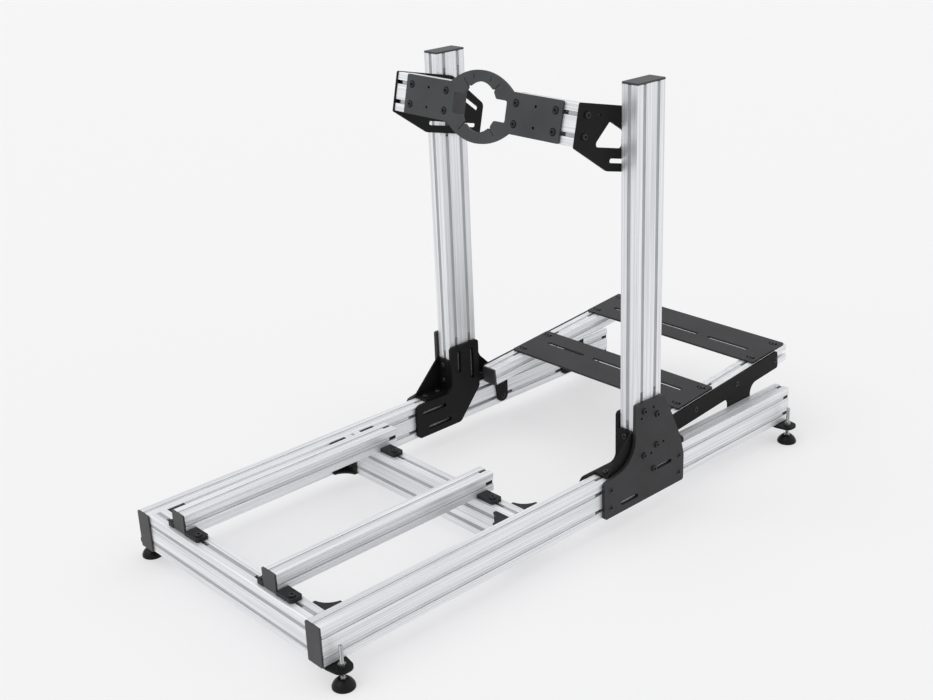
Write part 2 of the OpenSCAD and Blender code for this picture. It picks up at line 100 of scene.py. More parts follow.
# The wheel deck leans back from its lower front edge, and the seat rails rise from their front ends.
DECK_LEAN = math.radians(12.6)
DECK_ORIGIN = np.array([0.0, UP_Y - 0.132, RAIL_TOP + 0.689])
STUB_Z = 0.0015
RING_WING = 0.220
SEAT_RISE = math.radians(5.3)
SEAT_ORIGIN = np.array([0.0, UP_Y + 0.099, RAIL_TOP + 0.038])
SEAT_LENGTH = 0.490
SEAT_PLATES = ((0.098, 0.218), (0.364, 0.484))

# Ends of the plates and brackets, behind the uprights' front faces or above the side rails' tops.
OUTER_PLATE = (-0.100, 0.150)
OUTER_PLATE_TOP = 0.142
INNER_PLATE_FRONT = -0.116
INNER_PLATE_TOP = 0.113
BRACKET = 0.080
BRACKET_T = 0.006
SEAT_LEGS = ((0.145, 0.1755), (0.368, 0.447))
DECK_PLATE = (0.605, 0.755)
CORNER_LEG = 0.040
CLAMP_REACH = (0.041, 0.065)
END_CLEAR = 0.001

# The place of the photo's camera.
CAMERA_AT = (1.922, FRONT_Y - 1.093, RAIL_TOP + 1.29195)


def turned(angle, origin):
    """4x4 matrix that turns by an angle about X, then moves to an origin."""
    c, s = math.cos(angle), math.sin(angle)
    place = np.eye(4)
    place[1:3, 1:3] = [[c, -s], [s, c]]
    place[:3, 3] = origin
    return place


# Local frames: at the uprights' front faces and at the rails' front ends, both on the rails' tops,
# then that of the leaning wheel deck and that of the rising seat rails.
RIG = turned(0.0, (0.0, UP_Y, RAIL_TOP))
BASE = turned(0.0, (0.0, FRONT_Y, RAIL_TOP))
DECK = turned(-DECK_LEAN, DECK_ORIGIN)
SEAT = turned(SEAT_RISE, SEAT_ORIGIN)
BOTH = (1, -1)
ONE, OTHER = BOTH[:1], BOTH[1:]
SLOTS_Z = (-HALF, -CELL - HALF)

# Colours


def linear(hexcode):
    """sRGB hex text to linear RGBA: c/12.92 below 0.04045, else ((c + 0.055)/1.055)^2.4."""
    srgb = np.array([int(hexcode[i:i + 2], 16) for i in (1, 3, 5)]) / 255
    rgb = np.where(srgb <= 0.04045, srgb / 12.92, ((srgb + 0.055) / 1.055) ** 2.4)
    return (*(float(v) for v in rgb), 1.0)


def colour_prop(name, text, hexcode):
    """A colour property whose default is an sRGB hex value."""
    return FloatVectorProperty(name=name, description=text, subtype="COLOR", size=4, min=0, max=1,
                               default=linear(hexcode))


class CockpitSizes(bpy.types.PropertyGroup):
    """Sizes of the small parts that the frame leaves out."""
    head_d: FloatProperty(name="Bolt head", description="Diameter of an M8 button head",
                          default=0.0140, unit="LENGTH")
    head_h: FloatProperty(name="Head height", description="Height of an M8 button head",
                          default=0.0044, unit="LENGTH")
    socket: FloatProperty(name="Socket", description="Hexagon socket across its flats",
                          default=0.0050, unit="LENGTH")
    cover_w: FloatProperty(name="Grey cover", description="Width of a grey cover strip in an 8 mm slot",
                           default=0.0079, unit="LENGTH")
    pale_w: FloatProperty(name="Pale cover", description="Width of a pale cover strip in an 8 mm slot",
                          default=0.0064, unit="LENGTH")
    cover_sink: FloatProperty(name="Cover depth", description="Depth of a cover strip below the face",
                              default=0.0003, unit="LENGTH")
    cover_gap: FloatProperty(name="Open end", description="Slot left open next to a plate or an end",
                             default=0.0200, unit="LENGTH")
    thread_pitch: FloatProperty(name="Thread", description="Pitch of the M8 stud of a foot",
                                default=0.00125, unit="LENGTH")
    low_d: FloatProperty(name="Low head", description="Diameter of a low bolt head",
                         default=0.0130, unit="LENGTH")
    low_h: FloatProperty(name="Low head height", description="Height that a low head stands out",
                         default=0.0012, unit="LENGTH")


class CockpitColours(bpy.types.PropertyGroup):
    """Colours of the finishes."""
    aluminium: colour_prop("Aluminium", "Clear anodised profile", "#ECEDEF")
    steel: colour_prop("Plates", "Black powder coat", "#0D0D0E")
    # The thick plates have the same black powder coat, drawn lighter as painted light, with more sheen.
    satin: colour_prop("Thick plates", "Black powder coat lightened as painted light", "#222224")
    plastic: colour_prop("Plastic", "Moulded brackets and clamps", "#1C1C1E")
    # The ring plate has the plates' black powder coat, drawn lighter as painted sheen, and glossier.
    ring: colour_prop("Ring plate", "Sheen-painted black powder coat of the ring plate", "#303234")
    cap: colour_prop("Caps", "Moulded end caps", "#2F2F31")
    # One cover plastic in two tones: darker on the uprights, cross bars and wheel deck as painted shade,
    # lighter on the rails as painted light.
    cover: colour_prop("Covers in painted shade", "Cover strips of the uprights and cross bars", "#A2A4A6")
    pale: colour_prop("Covers in painted light", "Cover strips of the side, pedal and seat rails", "#CDCFD1")
    zinc: colour_prop("Zinc", "Plated studs and nuts", "#A4A6A6")
    bolt: colour_prop("Bolts", "Blackened bolts", "#242426")
    foot: colour_prop("Foot pads", "Black moulded pads", "#0B0B0C")
    floor: colour_prop("Floor", "Pale studio floor", "#F4F4F5")


class CockpitStage(bpy.types.PropertyGroup):
    """Lamps and camera."""
    lens: FloatProperty(name="Lens", description="Focal length on a 36 mm wide sensor", default=52.113)
    azimuth: FloatProperty(name="Azimuth", description="Camera's turn round the frame",
                           default=math.radians(48.19), subtype="ANGLE")
    elevation: FloatProperty(name="Elevation", description="Camera's height above the horizon",
                             default=math.radians(22.30), subtype="ANGLE")
    roll: FloatProperty(name="Roll", description="Camera's roll", default=math.radians(-2.43),
                        subtype="ANGLE")
    sky: FloatProperty(name="Sky", description="Strength of the even light all round", default=0.72)
    key: FloatProperty(name="Key", description="Strength of the main soft lamp", default=0.56)
    fill: FloatProperty(name="Fill", description="Strength of the second soft lamp", default=0.22)
    glow: FloatProperty(name="Glow", description="Painted glow that pales the floor's shadows", default=0.53)


# Surfaces


def ring_faces(rows, columns):
    """Quads between neighbouring rows of a grid whose rows are closed rings."""
    r = np.arange(rows - 1)[:, None]
    c = np.arange(columns)[None, :]
    n = (c + 1) % columns
    return np.stack([r * columns + c, r * columns + n, (r + 1) * columns + n, (r + 1) * columns + c],
                    axis=-1).reshape(-1, 4)


def revolved(radii, heights, sides):
    """Closed surface of revolution: point (row, k) = (R cos a, R sin a, Z), a = 2 pi k / sides.

    radii holds one number a point, so a row can be a circle or a hexagon. The profile runs
    anticlockwise in (R, Z), and its ends lie on the axis, where R = 0, and are merged to a pole.
    """
    angle = 2 * np.pi * np.arange(sides) / sides
    radii = np.asarray(radii, float)
    z = np.broadcast_to(np.asarray(heights, float)[:, None], radii.shape)
    points = np.stack([radii * np.cos(angle), radii * np.sin(angle), z], axis=-1).reshape(-1, 3)
    return points, ring_faces(len(heights), sides)


def hexagon(flats, sides):
    """Radius of a hexagon at each angle: (flats / 2) / cos(distance to the nearest flat's middle)."""
    angle = 2 * np.pi * np.arange(sides) / sides
    return flats / 2 / np.cos((angle + np.pi / 6) % (np.pi / 3) - np.pi / 6)


def bolt_shape(size, shank, wide, tall):
    """A button head on its shank: an elliptic dome with a hexagon socket, its underside on z = 0.

    The dome is (flat + (rim - flat) cos t, edge + (tall - edge) sin t), t from 0 to a quarter turn.
    """
    sides, neck, chamfer = 36, 0.0039, 0.0003
    socket_wall, socket_tip = 0.0027, 0.0033
    ones = np.ones(sides)
    swing = np.linspace(0, np.pi / 2, 6)
    rim, flat, edge = wide / 2, wide * 0.29, tall * 0.16
    dome_r = flat + (rim - flat) * np.cos(swing)
    dome_z = edge + (tall - edge) * np.sin(swing)
    socket = hexagon(size.socket, sides)
    radii = [0 * ones, neck * ones, neck * ones, (rim - chamfer) * ones, *(r * ones for r in dome_r),
             socket + chamfer, socket, socket, 0 * ones]
    heights = [-shank, -shank, 0, 0, *dome_z, tall, tall - chamfer, tall - socket_wall, tall - socket_tip]
    return revolved(radii, heights, sides)


def threaded_shape(radius, pitch, depth, length):
    """A threaded rod: R = radius - depth * triangle(z / pitch - a / 2 pi), with cone-cut ends."""
    sides, steps, taper = 24, 5, 0.0014
    rows = int(length / pitch * steps)
    z = np.linspace(0, length, rows)
    angle = 2 * np.pi * np.arange(sides) / sides
    wave = np.abs(((z[:, None] / pitch - angle[None, :] / (2 * np.pi)) % 1) * 2 - 1)
    cut = np.clip(taper - np.minimum(z, length - z), 0, None)[:, None]
    radii = np.minimum(radius - depth * wave, radius - cut)
    radii = np.concatenate([np.zeros((1, sides)), radii, np.zeros((1, sides))])
    return revolved(radii, np.concatenate([[0], z, [length]]), sides)


def strip_shape(width, crown, thick):
    """Section of a cover strip as (across, up): a low arc over a flat base, its ends at z = 0."""
    u = np.linspace(1, -1, 7)
    top = np.stack([u * width / 2, crown * (1 - u ** 2)], axis=-1)
    base = np.array([[-width / 2, -thick], [width / 2, -thick]])
    return np.concatenate([top, base])


def swept(section, starts, ends, ups):
    """Straight strips: point = start + t (end - start) + across * side + height * up, t = 0 or 1.

    side = direction x up. Each strip is closed by a fan at each end. All strips are one array.
    """
    starts, ends, ups = (np.asarray(v, float) for v in (starts, ends, ups))
    along = ends - starts
    along /= np.linalg.norm(along, axis=1, keepdims=True)
    side = np.cross(along, ups)
    ring = section[None, :, :1] * side[:, None, :] + section[None, :, 1:] * ups[:, None, :]
    points = np.stack([starts[:, None] + ring, ends[:, None] + ring], axis=1)
    middles = np.stack([points[:, 0].mean(axis=1), points[:, 1].mean(axis=1)], axis=1)
    count, n = len(starts), len(section)
    points = np.concatenate([points.reshape(count, 2 * n, 3), middles], axis=1)
    k = np.arange(n)
    m = (k + 1) % n
    walls = np.stack([k, m, m + n, k + n], axis=-1)
    first = np.stack([np.full(n, 2 * n), m, k, k], axis=-1)
    last = np.stack([np.full(n, 2 * n + 1), k + n, m + n, m + n], axis=-1)
    faces = np.concatenate([walls, first, last])
    step = np.arange(count)[:, None, None] * (2 * n + 2)
    return points.reshape(-1, 3), (faces[None] + step).reshape(-1, 4)


def copies(shape, places, normals):
    """Copies of a shape, its +Z turned to each normal n: basis (u, n x u, n), u level if it can be."""
    points, faces = shape
    places, n = np.asarray(places, float), np.asarray(normals, float)
    n = n / np.linalg.norm(n, axis=1, keepdims=True)
    level = np.where(np.abs(n[:, 2:3]) > 0.9, [[1.0, 0.0, 0.0]], [[0.0, 0.0, 1.0]])
    u = np.cross(level, n)
    u /= np.linalg.norm(u, axis=1, keepdims=True)
    basis = np.stack([u, np.cross(n, u), n], axis=1)
    moved = np.einsum("pi,kij->kpj", points, basis) + places[:, None]
    step = np.arange(len(places))[:, None, None] * len(points)
    return moved.reshape(-1, 3), (faces[None] + step).reshape(-1, 4)


def make_piece(name, shape, finish, smooth_deg=30):
    """Put a surface into a mesh object with one material, merged poles and smooth rounds."""
    points, faces = shape
    mesh = bpy.data.meshes.new(name)
    mesh.from_pydata(points.tolist(), [], [list(dict.fromkeys(f)) for f in faces.tolist()])
    mesh.validate()
    piece = bpy.data.objects.new(name, mesh)
    bpy.context.scene.collection.objects.link(piece)
    bpy.context.view_layer.objects.active = piece
    for other in bpy.context.selected_objects:
        other.select_set(False)
    piece.select_set(True)
    bpy.ops.object.mode_set(mode="EDIT")
    bpy.ops.mesh.select_all(action="SELECT")
    bpy.ops.mesh.remove_doubles(threshold=1e-6)
    bpy.ops.mesh.normals_make_consistent(inside=False)
    bpy.ops.object.mode_set(mode="OBJECT")
    bpy.ops.object.shade_auto_smooth(angle=math.radians(smooth_deg))
    mesh.materials.append(finish)
    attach(piece, "root")
    return piece


def points_in(place, rows):
    """Points of a local frame as world points."""
    rows = np.asarray(rows, float)
    return rows @ place[:3, :3].T + place[:3, 3]


def both_sides(place, rows, normal):
    """World points and normals of local points, and the same mirrored in X."""
    points = points_in(place, rows)
    normals = np.tile(place[:3, :3] @ np.asarray(normal, float), (len(points), 1))
    flip = np.array([-1.0, 1.0, 1.0])
    return np.concatenate([points, points * flip]), np.concatenate([normals, normals * flip])


# Finishes


def add_node(tree, kind, settings=None, inputs=None):
    """Add a node, apply its settings, then set or link its inputs."""
    made = tree.nodes.new(kind)
    for key, value in (settings or {}).items():
        setattr(made, key, value)
    for key, value in (inputs or {}).items():
        if isinstance(value, bpy.types.NodeSocket):
            tree.links.new(value, made.inputs[key])
        else:
            made.inputs[key].default_value = value
    return made


def new_finish(name, **constants):
    """A material with a Principled shader and its constant sockets set."""
    finish = bpy.data.materials.new(name)
    finish.use_nodes = True
    shader = finish.node_tree.nodes["Principled BSDF"]
    for key, value in constants.items():
        shader.inputs[key.replace("_", " ")].default_value = value
    return finish, finish.node_tree, shader


def patterned(tree, scale_m, detail=2.0, rough=0.5):
    """Noise on Object coordinates whose grain is scale_m metres along each axis."""
    place = add_node(tree, "ShaderNodeTexCoord")
    grain = [1.0 / s for s in scale_m]
    fitted = add_node(tree, "ShaderNodeMapping", {}, {"Vector": place.outputs["Object"], "Scale": grain})
    noise = add_node(tree, "ShaderNodeTexNoise", {},
                     {"Vector": fitted.outputs["Vector"], "Scale": 1.0, "Detail": detail,
                      "Roughness": rough})
    return noise.outputs["Fac"]


def blended(tree, factor, colour_a, colour_b, low_at=0.3, high_at=0.7):
    """Colour from a to b as the factor goes from low_at to high_at."""
    ramp = add_node(tree, "ShaderNodeValToRGB", {}, {"Fac": factor})
    ramp.color_ramp.elements[0].position = low_at
    ramp.color_ramp.elements[1].position = high_at
    ramp.color_ramp.elements[0].color = colour_a
    ramp.color_ramp.elements[1].color = colour_b
    return ramp.outputs["Color"]


def ranged(tree, factor, low_value, high_value, low_at=0.3, high_at=0.7):
    """Number from low_value to high_value as the factor goes from low_at to high_at."""
    return add_node(tree, "ShaderNodeMapRange", {},
                    {"Value": factor, "From Min": low_at, "From Max": high_at,
                     "To Min": low_value, "To Max": high_value}).outputs["Result"]


def bumped(tree, shader, height, distance, strength=0.5):
    """Link a height pattern to the shader as bump of that depth in metres."""
    bump = add_node(tree, "ShaderNodeBump", {},
                    {"Height": height, "Distance": distance, "Strength": strength})
    tree.links.new(bump.outputs["Normal"], shader.inputs["Normal"])


def shade(colour, factor):
    """A colour made darker or lighter by a factor."""
    return (*(min(1.0, v * factor) for v in tuple(colour)[:3]), 1.0)


def extruded_aluminium(colours, axis):
    """Clear-anodised extruded aluminium: a satin metal with fine die lines along its length."""
    finish, tree, shader = new_finish(f"Clear anodised extrusion along {axis}", Metallic=0.62)
    # Real die lines are about 0.1 mm wide; they are drawn 2.8 mm wide to show in the render.
    # The haze of the anodising bath lies in streaks about 30 mm wide and 240 mm long.
    line = [0.0028] * 3
    line["XYZ".index(axis)] = 0.450
    cloud = [0.030] * 3
    cloud["XYZ".index(axis)] = 0.240
    lines = patterned(tree, line, 3.0, 0.6)
    clouds = patterned(tree, cloud)
    tone = blended(tree, lines, shade(colours.aluminium, 0.72), shade(colours.aluminium, 1.12),
                   0.38, 0.62)
    haze = blended(tree, clouds, shade(colours.aluminium, 0.90), shade(colours.aluminium, 1.04))
    mixed = add_node(tree, "ShaderNodeMix", {"data_type": "RGBA", "blend_type": "MIX"},
                     {0: 0.35, 6: tone, 7: haze})
    tree.links.new(mixed.outputs[2], shader.inputs["Base Color"])
    tree.links.new(ranged(tree, lines, 0.38, 0.56), shader.inputs["Roughness"])
    bumped(tree, shader, lines, 0.00003)
    return finish


def powder_coat(name, colour, sheen):
    """Black powder coat on laser-cut steel: satin, with the fine orange peel of fused powder."""
    finish, tree, shader = new_finish(name, Metallic=0.0, IOR=1.5, Specular_IOR_Level=sheen)
    # The peel's real grain is about 0.6 mm; it is drawn 1.5 mm wide. The coat's thickness, and so
    # its tone, drifts over about 90 mm.
    peel = patterned(tree, (0.0015, 0.0015, 0.0015))
    cloud = patterned(tree, (0.090, 0.090, 0.090), 3.0)
    tone = blended(tree, cloud, shade(colour, 0.80), shade(colour, 1.35))
    tree.links.new(tone, shader.inputs["Base Color"])
    tree.links.new(ranged(tree, peel, 0.44, 0.58), shader.inputs["Roughness"])
    bumped(tree, shader, peel, 0.00012)
    return finish


def moulded_plastic(name, colour, sheen, rough_low, rough_high):
    """Moulded glass-filled nylon: matt black with a fine spark-eroded grain."""
    finish, tree, shader = new_finish(name, Metallic=0.0, IOR=1.5, Specular_IOR_Level=sheen)
    # Spark-eroded texture is about 0.2 mm; it is drawn 1.2 mm wide. Flow clouds are about 40 mm.
    grain = patterned(tree, (0.0012, 0.0012, 0.0012), 3.0)
    cloud = patterned(tree, (0.040, 0.040, 0.040))
    tone = blended(tree, cloud, shade(colour, 0.85), shade(colour, 1.20))
    tree.links.new(tone, shader.inputs["Base Color"])
    tree.links.new(ranged(tree, grain, rough_low, rough_high), shader.inputs["Roughness"])
    bumped(tree, shader, grain, 0.00008)
    return finish


def extruded_plastic(name, colour):
    """Extruded plastic of the cover strips: smooth, with a soft cloudy sheen."""
    finish, tree, shader = new_finish(name, Metallic=0.0, IOR=1.5)
    # Gloss and tone drift over about 60 mm of an extruded strip.
    cloud = patterned(tree, (0.060, 0.060, 0.060))
    tone = blended(tree, cloud, shade(colour, 0.92), shade(colour, 1.08))
    tree.links.new(tone, shader.inputs["Base Color"])
    tree.links.new(ranged(tree, cloud, 0.28, 0.40), shader.inputs["Roughness"])
    return finish


def zinc_plate(colours):
    """Bright zinc plate on steel: a soft metal gloss with faint yellow and blue passivation."""
    finish, tree, shader = new_finish("Bright zinc plate", Metallic=1.0)
    # Passivation clouds are as wide as the stud, about 7 mm.
    cloud = patterned(tree, (0.007, 0.007, 0.007), 3.0)
    cool = (*(v * t for v, t in zip(tuple(colours.zinc), (0.90, 0.96, 1.02))), 1.0)
    warm = (*(v * t for v, t in zip(tuple(colours.zinc), (1.06, 1.02, 0.90))), 1.0)
    tree.links.new(blended(tree, cloud, cool, warm), shader.inputs["Base Color"])
    tree.links.new(ranged(tree, cloud, 0.24, 0.38), shader.inputs["Roughness"])
    return finish


def black_oxide(colours):
    """Blackened alloy-steel bolts: dark, with an oily sheen."""
    finish, tree, shader = new_finish("Blackened bolt steel", Metallic=0.6)
    # The oil lies in patches of about 4 mm, two or three on a head.
    cloud = patterned(tree, (0.004, 0.004, 0.004))
    tone = blended(tree, cloud, shade(colours.bolt, 0.8), shade(colours.bolt, 1.5))
    tree.links.new(tone, shader.inputs["Base Color"])
    tree.links.new(ranged(tree, cloud, 0.22, 0.34), shader.inputs["Roughness"])
    return finish


def finish_called(name):
    """A finish made by the finishes operator."""
    return bpy.data.materials[name]


# Operators


class COCKPIT_OT_finishes(bpy.types.Operator):
    """Give every part of the frame its finish"""
    bl_idname = "cockpit.finishes"
    bl_label = "Finishes"

    def execute(self, context):
        colours = context.scene.cockpit_colours
        along = {axis: extruded_aluminium(colours, axis) for axis in "XYZ"}
        coat = powder_coat("Black powder coat", colours.steel, 0.14)
        # Lighter base colour on the outer and seat cross plates: painted light; the higher sheen is real.
        satin = powder_coat("Black powder coat lightened as painted light", colours.satin, 0.35)
        nylon = moulded_plastic("Moulded black nylon", colours.plastic, 0.28, 0.46, 0.60)
        cap = moulded_plastic("Moulded end cap nylon", colours.cap, 0.55, 0.44, 0.58)
        pad = moulded_plastic("Moulded black foot", colours.foot, 0.18, 0.34, 0.46)
        zinc = zinc_plate(colours)
        # The two cover finishes are one plastic: the darker is painted shade, the lighter painted light.
        extruded_plastic("Cover plastic in painted shade", colours.cover)
        extruded_plastic("Cover plastic in painted light", colours.pale)
        black_oxide(colours)
        # Lighter base colour on the ring plate: painted sheen.
        ring = powder_coat("Sheen-painted black powder coat", colours.ring, 0.45)
        slots = {"black_steel": coat, "black_plastic": nylon, "zinc_steel": zinc, "foot_plastic": pad}
        special = {"end_caps": cap, "outer_plate": satin, "cross_plate": satin, "ring_plate": ring}
        axis_of = {"upright": "Z", "cross_bar": "X", "wheel_deck_profile": "X"}
        for row in frame["record"]["subparts"]:
            node = frame["nodes"][row["node"]]
            finish = slots.get(row["material_slot"])
            finish = next((f for key, f in special.items() if row["node"].endswith(key)), finish)
            if finish is None:
                ends = [a for key, a in axis_of.items() if row["node"].endswith(key)]
                finish = along[ends[0] if ends else "Y"]
            if not node.data.materials:
                node.data.materials.append(finish)
            for place in node.material_slots:
                place.material = finish
        return {"FINISHED"}


def cover_lines(gap):
    """(start, end, outward) of every cover strip and black end piece of painted shade, by group, as world
    points.
    """
    kinds = ("side_rail", "upright", "cross_bar", "pedal_rail", "seat_rail", "wheel_deck", "plug")
    groups = {key: [] for key in kinds}

    def put(group, place, start, stop, outward, sides=BOTH):
        """Add a strip between two points of a local frame, and the same mirrored in X."""
        a, b = points_in(place, [start, stop])
        n = place[:3, :3] @ np.array(outward, float)
        for s in sides:
            flip = np.array([s, 1.0, 1.0])
            groups[group].append((a * flip, b * flip, n * flip))

    side_rail_lines(put, gap)
    upright_lines(put, gap)
    cross_bar_lines(put, gap)
    pedal_rail_lines(put, gap)
    seat_rail_lines(put, gap)
    wheel_deck_lines(put)
    return groups


def side_rail_lines(put, gap):
    """Strips of the side rails' outer, inner, top and under slots, and black plugs at their open ends as
    painted shade inside the slots.
    """
    front, back = FRONT_Y - UP_Y, BACK_Y - UP_Y
    bar_back = MIDDLE_BAR_Y + HALF + CORNER_LEG - UP_Y
    bar_front = MIDDLE_BAR_Y - HALF - CORNER_LEG - UP_Y
    under_in, outer_back = 0.060, OUTER_PLATE[1] + 0.002
    inner = ((front + CELL + CORNER_LEG, bar_front), (bar_back, INNER_PLATE_FRONT - gap),
             (SEAT_LEGS[0][1] + gap, SEAT_LEGS[1][0] - gap), (SEAT_LEGS[1][1] + END_CLEAR, back - gap))
    for z in SLOTS_Z:
        for y0, y1 in ((front + END_CLEAR, OUTER_PLATE[0] - gap), (outer_back, back - gap)):
            put("side_rail", RIG, (OUTER_X, y0, z), (OUTER_X, y1, z), (1, 0, 0))
        for y0, y1 in inner:
            put("side_rail", RIG, (INNER_X, y0, z), (INNER_X, y1, z), (-1, 0, 0))
    for y0, y1 in ((front + END_CLEAR, -BRACKET - gap), (2 * CELL + BRACKET + gap, back - gap)):
        put("side_rail", RIG, (RAIL_X, y0, 0), (RAIL_X, y1, 0), (0, 0, 1))
    put("side_rail", RIG, (RAIL_X, front + under_in, -2 * CELL), (RAIL_X, back - under_in, -2 * CELL),
        (0, 0, -1))
    # Black plugs in the open slot ends: painted shade where the slot's inside lies in shadow.
    put("plug", RIG, (RAIL_X, back - gap, 0), (RAIL_X, back - END_CLEAR, 0), (0, 0, 1))
    for z in SLOTS_Z:
        for x, way in ((OUTER_X, 1), (INNER_X, -1)):
            put("plug", RIG, (x, back - gap, z), (x, back - END_CLEAR, z), (way, 0, 0))


def upright_lines(put, gap):
    """Strips of the uprights' front, back, outer and inner slots."""
    top = UP_TOP - RAIL_TOP - END_CLEAR
    put("upright", RIG, (RAIL_X, 0, BRACKET + gap), (RAIL_X, 0, top), (0, -1, 0))
    put("upright", RIG, (RAIL_X, 2 * CELL, BRACKET + gap), (RAIL_X, 2 * CELL, top), (0, 1, 0))
    for y in (HALF, CELL + HALF):
        put("upright", RIG, (OUTER_X, y, OUTER_PLATE_TOP + gap), (OUTER_X, y, top), (1, 0, 0))
        put("upright", RIG, (INNER_X, y, INNER_PLATE_TOP + gap), (INNER_X, y, DECK_PLATE[0]), (-1, 0, 0))
        put("upright", RIG, (INNER_X, y, DECK_PLATE[1]), (INNER_X, y, top), (-1, 0, 0))


def cross_bar_lines(put, gap):
    """Strips of the two cross bars, broken at the pedal rails and their clamps."""
    near, far = CLAMP_REACH[1] + gap, CLAMP_REACH[0] + gap
    tops = ((END_CLEAR - INNER_X, RIGHT_PEDAL_X - far), (RIGHT_PEDAL_X + near, LEFT_PEDAL_X - far),
            (LEFT_PEDAL_X + near, INNER_X - END_CLEAR))
    for y, inset in ((0.0, END_CLEAR), (MIDDLE_BAR_Y - HALF - FRONT_Y, CORNER_LEG)):
        for z in SLOTS_Z:
            put("cross_bar", BASE, (inset - INNER_X, y, z), (INNER_X - inset, y, z), (0, -1, 0), ONE)
            put("cross_bar", BASE, (CORNER_LEG - INNER_X, y + CELL, z),
                (INNER_X - CORNER_LEG, y + CELL, z), (0, 1, 0), ONE)
        for x0, x1 in tops:
            if x1 - x0 > gap:
                put("cross_bar", BASE, (x0, y + HALF, 0), (x1, y + HALF, 0), (0, 0, 1), ONE)
        put("cross_bar", BASE, (END_CLEAR - INNER_X, y + HALF, -2 * CELL),
            (INNER_X - END_CLEAR, y + HALF, -2 * CELL), (0, 0, -1), ONE)


def pedal_rail_lines(put, gap):
    """Strips of the pedal rails' top and side slots, and black plugs at their open back ends as painted
    shade inside the slots.
    """
    first, last = PEDAL_FRONT + END_CLEAR - FRONT_Y, PEDAL_BACK - FRONT_Y - gap
    stop = last + gap - END_CLEAR
    for x in (LEFT_PEDAL_X, RIGHT_PEDAL_X):
        put("pedal_rail", BASE, (x, first, CELL), (x, last, CELL), (0, 0, 1), ONE)
        # Black plugs at the open back ends: painted shade inside the slots.
        put("plug", BASE, (x, last, CELL), (x, stop, CELL), (0, 0, 1), ONE)
        for s in BOTH:
            side_x = x + s * HALF
            put("pedal_rail", BASE, (side_x, first, HALF), (side_x, last, HALF), (s, 0, 0), ONE)
            put("plug", BASE, (side_x, last, HALF), (side_x, stop, HALF), (s, 0, 0), ONE)


def seat_rail_lines(put, gap):
    """Strips of the seat rails' top slots between the cross plates, and of their inner and under slots."""
    front_plate, rear_plate = SEAT_PLATES
    stop = SEAT_LENGTH - gap
    for s0, s1 in ((END_CLEAR, front_plate[0] - gap), (front_plate[1] + gap, rear_plate[0] - gap)):
        put("seat_rail", SEAT, (SEAT_RAIL_X, s0, 0), (SEAT_RAIL_X, s1, 0), (0, 0, 1))
    side_x = SEAT_RAIL_X - HALF
    put("seat_rail", SEAT, (side_x, END_CLEAR, -HALF), (side_x, stop, -HALF), (-1, 0, 0))
    put("seat_rail", SEAT, (SEAT_RAIL_X, END_CLEAR, -CELL), (SEAT_RAIL_X, stop, -CELL), (0, 0, -1))


def wheel_deck_lines(put):
    """Strips of the wheel deck's short profiles; the front ones stop behind the ring plate's wings."""
    plate_x = INNER_X - PLATE
    start = plate_x - END_CLEAR
    tuck, far_start = 0.012, plate_x - 0.016
    for z in (STUB_Z + HALF, STUB_Z + CELL + HALF):
        put("wheel_deck", DECK, (start, PLATE, z), (RING_WING + tuck, PLATE, z), (0, -1, 0), ONE)
        put("wheel_deck", DECK, (far_start, PLATE, z), (RING_WING, PLATE, z), (0, -1, 0), OTHER)
        put("wheel_deck", DECK, (start, PLATE + CELL, z), (STUB_IN, PLATE + CELL, z), (0, 1, 0))
    for z, way in ((STUB_Z + 2 * CELL, 1), (STUB_Z, -1)):
        put("wheel_deck", DECK, (start, PLATE + HALF, z), (STUB_IN, PLATE + HALF, z), (0, 0, way))


class COCKPIT_OT_covers(bpy.types.Operator):
    """Lay a cover strip in each slot, short of the plates and open ends, and a black piece of painted
    shade in each open end
    """
    bl_idname = "cockpit.covers"
    bl_label = "Slot covers"

    def execute(self, context):
        size = context.scene.cockpit_sizes
        crown, thick, plug_sink = 0.0005, 0.0016, 0.0020
        # Darker strips carry painted shade, lighter strips painted light.
        grey = (size.cover_w, crown, "Cover plastic in painted shade")
        pale = (size.pale_w, crown, "Cover plastic in painted light")
        kinds = {"upright": grey, "cross_bar": grey, "wheel_deck": grey,
                 # The black end pieces are painted shade inside the open slots.
                 "plug": (size.cover_w, plug_sink, "Moulded black foot")}
        for group, lines in cover_lines(size.cover_gap).items():
            width, below, finish = kinds.get(group, pale)
            starts, ends, ups = (np.array(v) for v in zip(*lines))
            sink = ups * (size.cover_sink + below)
            shape = swept(strip_shape(width, crown, thick), starts - sink, ends - sink, ups)
            make_piece(f"{group}_slot_strips", shape, finish_called(finish), 40)
        return {"FINISHED"}


def place_bolts(name, size, spots, shank=0.008, low_head=False):
    """One piece of bolts at (points, normals), with low heads if asked."""
    points, normals = spots
    wide, tall = (size.low_d, size.low_h) if low_head else (size.head_d, size.head_h)
    shape = copies(bolt_shape(size, shank, wide, tall), points, normals)
    return make_piece(name, shape, finish_called("Blackened bolt steel"), 35)


def merged(*spots):
    """Several (points, normals) as one."""
    return tuple(np.concatenate(v) for v in zip(*spots))


